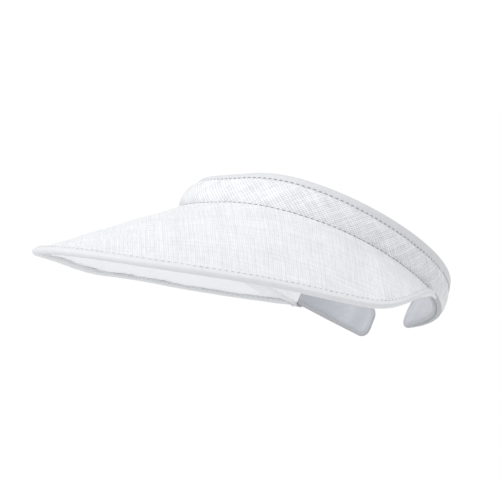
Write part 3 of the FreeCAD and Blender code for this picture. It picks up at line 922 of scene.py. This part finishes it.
def band_binding(name, part, stations):
    """The binding folded over the band's top edge, or round an arm's end and along its lower edge."""
    s, height, out_s, out_h, run = (values[stations] for values in route(part))
    leg, lower = leg_of(part, run)
    half = SWEATBAND[1] / 2 + 0.05 * MM
    slim = (BAND_FOLD - LOWER_FOLD) * lower
    out, through = wrap_outline(leg, half, BAND_CROWN - slim, ARM_GROOVE * lower)
    through = pinched(out, through, leg, run)
    out = out - BAND_FOLD + slim[:, None]
    station = s[:, None] + out_s[:, None] * out
    inward = SWEATBAND[1] / 2 + through - COVER_PUFF * 0.25 * np.clip(-out / BAND_LEG, 0, 1)
    return loft(name, wall(station, height[:, None] + out_h[:, None] * out, inward))


def band_stitch_row(name, part, inward, sign):
    s, height, out_s, out_h, run = route(part)
    leg, _ = leg_of(part, run)
    last = run[-1] if part == "front" else HALF_LENGTH - ARM_CORNER - SPLIT
    fine = np.linspace(0, last, len(run) * 4)
    rows = [np.interp(fine, run, v) for v in (s, height, out_s, out_h, leg)]
    s, height, out_s, out_h, leg = rows
    inset = leg + BAND_FOLD - STITCH_IN / 2
    at_s, at_h = s - out_s * inset, height - out_h * inset
    points = wall(at_s, at_h, inward)
    off = unit(wall(at_s, at_h, inward + sign * MM) - points)
    return stitches(name, points, off)


def lower_tape(name, part):
    """The turned tape that closes the band's lower edge on the inside."""
    s = stretch(part)
    s = s[np.abs(s) <= np.where(s < 0, BINDING_START[0], BINDING_START[1] - TAPE_SHORT)]
    reach = SWEATBAND[1]
    thick = BINDING_THICK
    turn = np.linspace(0, math.pi / 2, 6)
    outer = [(TAPE_UNDER, -thick)] + [
        (reach + thick * math.sin(a), -thick * math.cos(a)) for a in turn
    ] + [(reach + thick, TAPE_UP)]
    inner = [(reach + HAIR, TAPE_UP), (reach + HAIR, -1.5 * HAIR), (TAPE_UNDER, -1.5 * HAIR)]
    corners = np.array(outer + inner)
    return loft(name, wall(s[:, None], corners[:, 1], corners[:, 0]))


LAYERS = (
    # piece, CAD node stem, slot, builder
    ("cover", "cover", "band_weave",
     lambda name, part: band_layer(name, part, COVER, 0.0, COVER_PUFF, 0.1 * MM)),
    ("sweatband_satin", "sweatband", "sweatband",
     lambda name, part: band_layer(name, part, SWEATBAND, SATIN_MARGIN, -SATIN_PUFF, 0.12 * MM)),
    ("foam_strip", "foam", "foam_pad",
     lambda name, part: band_layer(name, part, FOAM, FOAM_MARGIN, 0.0, 0.05 * MM)),
    ("spring_blade", "spring", "spring_strip",
     lambda name, part: band_layer(
         name, part, SPRING, 0.0, 0.0, 0.0,
         BAND_HEIGHT / 2 - SPRING_HALF, BAND_HEIGHT / 2 + SPRING_HALF, SPRING_SHORT)),
)


def follow(piece, part):
    """A front piece rides on the visor; an arm's piece keeps its place, baked into its mesh."""
    if part == "front":
        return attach(piece, "visor")
    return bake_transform(piece)


def cad_node(stem, part):
    return f"band_{stem}_front" if part == "front" else f"arm_{stem}_{part}"


def build_band():
    made = {}
    for part in ("front", "left", "right"):
        for piece_name, stem, slot, builder in LAYERS:
            piece = dressed(builder(f"{piece_name}_{part}", part), slot)
            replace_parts(piece, cad_node(stem, part))
            made[piece.name] = follow(piece, part)
        top = slice(None) if part == "front" else slice(TOP_STATIONS)
        binding = dressed(band_binding(f"edge_tape_{part}", part, top), "edge_binding", "band_tape")
        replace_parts(binding, "band_top_binding_front" if part == "front" else f"arm_binding_{part}")
        made[binding.name] = follow(binding, part)
        if part != "front":
            # The binding round an arm's end and along its lower edge takes the darker copy of its colour:
            # painted shade.
            end = band_binding(f"end_tape_painted_shade_{part}", part, slice(TOP_STATIONS - 1, None))
            made[end.name] = follow(dressed(end, "edge_binding", "arm_tape_painted_shade"), part)
        if part != "left":
            tape = dressed(lower_tape(f"lower_tape_{part}", part), "seam_tape")
            made[tape.name] = follow(tape, part)
        skin = BINDING_THICK + 0.07 * MM
        outer = band_stitch_row(f"stitches_outer_{part}", part, -skin - COVER_PUFF * 0.2, -1.0)
        inner = band_stitch_row(f"stitches_inner_{part}", part, SWEATBAND[1] + skin - COVER_PUFF * 0.2, 1.0)
        node = "band_top_stitching_front" if part == "front" else f"arm_stitching_{part}"
        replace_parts(outer, node)
        made[outer.name] = follow(dressed(outer, "stitch_thread", "band_thread"), part)
        made[inner.name] = follow(dressed(inner, "stitch_thread"), part)
    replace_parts(made["lower_tape_front"], "band_lower_tape_front")
    return made


# ---------------------------------------------------------------- CAD nodes that stay

def dress_kept_nodes():
    """The hidden spring tips keep their CAD shape and get their own material."""
    slots = {row["node"]: row["material_slot"] for row in frame["record"]["subparts"]}
    for name, node in frame["nodes"].items():
        if not node.hide_render:
            dressed(node, slots[name])


# ---------------------------------------------------------------- stage, light, camera

def make_floor(lowest):
    """A wide pale disc well below the visor, as the visor is shown worn and not laid down."""
    rings = np.linspace(0.05, 9.0, 24)
    around = np.linspace(0, 2 * math.pi, 65)[:-1]
    height = lowest - 0.25
    points = [(r * math.cos(a), r * math.sin(a), height) for r in rings for a in around]
    index = np.arange(len(points)).reshape(len(rings), len(around))
    here, ahead = index[:-1], index[1:]
    quads = np.stack([here, ahead, np.roll(ahead, -1, 1), np.roll(here, -1, 1)], -1).reshape(-1, 4).tolist()
    mesh = bpy.data.meshes.new("studio_floor")
    mesh.from_pydata(points, [], quads + [index[0].tolist()])
    floor = bpy.data.objects.new("studio_floor", mesh)
    bpy.context.scene.collection.objects.link(floor)
    nodes = Nodes("studio_floor")
    place = nodes.add("TexCoord").outputs["Object"]
    speck = nodes.noise(place, 14.0, 4.0)
    floor.data.materials.append(nodes.finish(
        nodes.mix(speck, (0.80, 0.80, 0.80, 1.0), (0.84, 0.84, 0.84, 1.0)), speck, 0.2 * MM, 0.9,
    ))


def make_light():
    world = bpy.data.worlds.new("studio")
    world.use_nodes = True
    background = world.node_tree.nodes["Background"]
    background.inputs["Color"].default_value = (1.0, 1.0, 1.0, 1.0)
    seen = world.node_tree.nodes.new("ShaderNodeLightPath")
    strength = world.node_tree.nodes.new("ShaderNodeMapRange")
    strength.inputs["To Min"].default_value = 0.83
    strength.inputs["To Max"].default_value = 1.1
    world.node_tree.links.new(seen.outputs["Is Camera Ray"], strength.inputs["Value"])
    world.node_tree.links.new(strength.outputs["Result"], background.inputs["Strength"])
    bpy.context.scene.world = world
    softbox = bpy.data.lights.new("softbox", "SUN")
    softbox.energy = 1.6
    softbox.angle = math.radians(50)
    lamp = bpy.data.objects.new("softbox", softbox)
    lamp.rotation_euler = Vector((0.1, 0.7, -1.0)).to_track_quat("-Z", "Y").to_euler()
    bpy.context.scene.collection.objects.link(lamp)


def make_camera():
    """Seen from the wearer's front left, a little above level, through a long lens."""
    azimuth, elevation, distance = math.radians(40.62), math.radians(6.71), 1.0
    back = Vector((
        math.sin(azimuth) * math.cos(elevation),
        -math.cos(azimuth) * math.cos(elevation),
        math.sin(elevation),
    ))
    right = Vector((math.cos(azimuth), math.sin(azimuth), 0.0))
    middle = Vector((0.0, -23.9, 3.0)) * MM
    off_right, off_up = 19.95 * MM, 0.5 * MM
    aim = middle - right * off_right - back.cross(right) * off_up
    data = bpy.data.cameras.new("camera")
    data.lens = 135.6
    camera = bpy.data.objects.new("camera", data)
    camera.location = middle + back * distance
    camera.rotation_euler = (aim - camera.location).to_track_quat("-Z", "Y").to_euler()
    data.clip_start, data.clip_end = 0.05, 60.0
    bpy.context.scene.collection.objects.link(camera)
    bpy.context.scene.camera = camera


build_brim()
build_band()
dress_kept_nodes()
make_floor(cad_box[0].z)
make_light()
make_camera()
bpy.context.scene.view_settings.view_transform = "Standard"
